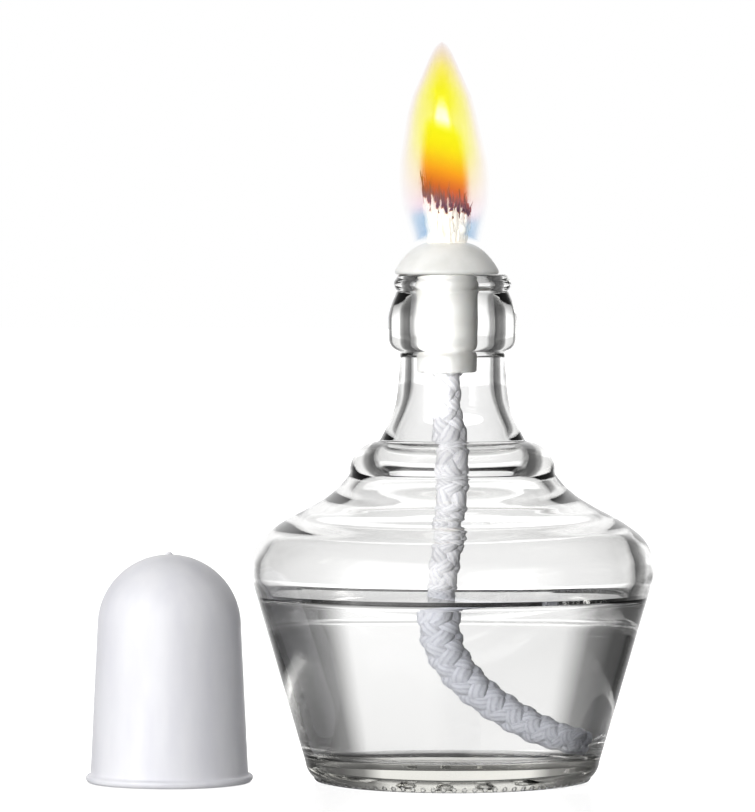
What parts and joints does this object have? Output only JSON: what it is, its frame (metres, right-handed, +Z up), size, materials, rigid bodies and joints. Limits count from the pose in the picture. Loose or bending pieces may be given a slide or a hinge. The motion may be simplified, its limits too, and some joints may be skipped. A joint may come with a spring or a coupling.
{
  "type": "oil lamp",
  "caption": "Wick lamp: squat clear glass bottle of lamp oil with a beaded neck, a domed wick holder, a braided wick with a flame, and a thimble-shaped snuffer cap standing beside it.",
  "frame": {"origin": "centre of the bottle's foot, on the surface it stands on", "axes": "+Z up along the bottle's axis; the cap stands on the -X side; -Y is the side that the lamp is seen from"},
  "size_m": [0.1312, 0.0934, 0.1706],
  "materials": {
    "clear_glass": "gloss",
    "lamp_oil": "gloss",
    "porcelain": "satin",
    "cotton_braid": "matte",
    "singed_cotton": "matte",
    "flame": "gloss",
    "white_plastic": "satin"
  },
  "bodies": {
    "bottle": {"glass_bottle": "clear_glass", "lamp_oil": "lamp_oil"},
    "holder": {"wick_holder": "porcelain"},
    "wick": {"wick_shank": "cotton_braid", "wick_tail": "cotton_braid", "wick_tip": "singed_cotton", "flame": "flame"},
    "cap": {"snuffer_cap": "white_plastic"}
  },
  "joints": [
    {"name": "holder_lift", "type": "slide", "parent": "bottle", "child": "holder", "axis": [0, 0, 1], "range_m": [0, 0.03], "deforming": ["lamp_oil"]},
    {"name": "wick_feed", "type": "slide", "parent": "holder", "child": "wick", "axis": [0, 0, 1], "range_m": [0, 0.008], "deforming": ["lamp_oil"]},
    {"name": "cap_lift", "type": "slide", "parent": "bottle", "child": "cap", "axis": [0, 0, 1], "range_m": [0, 0.175]}
  ]
}
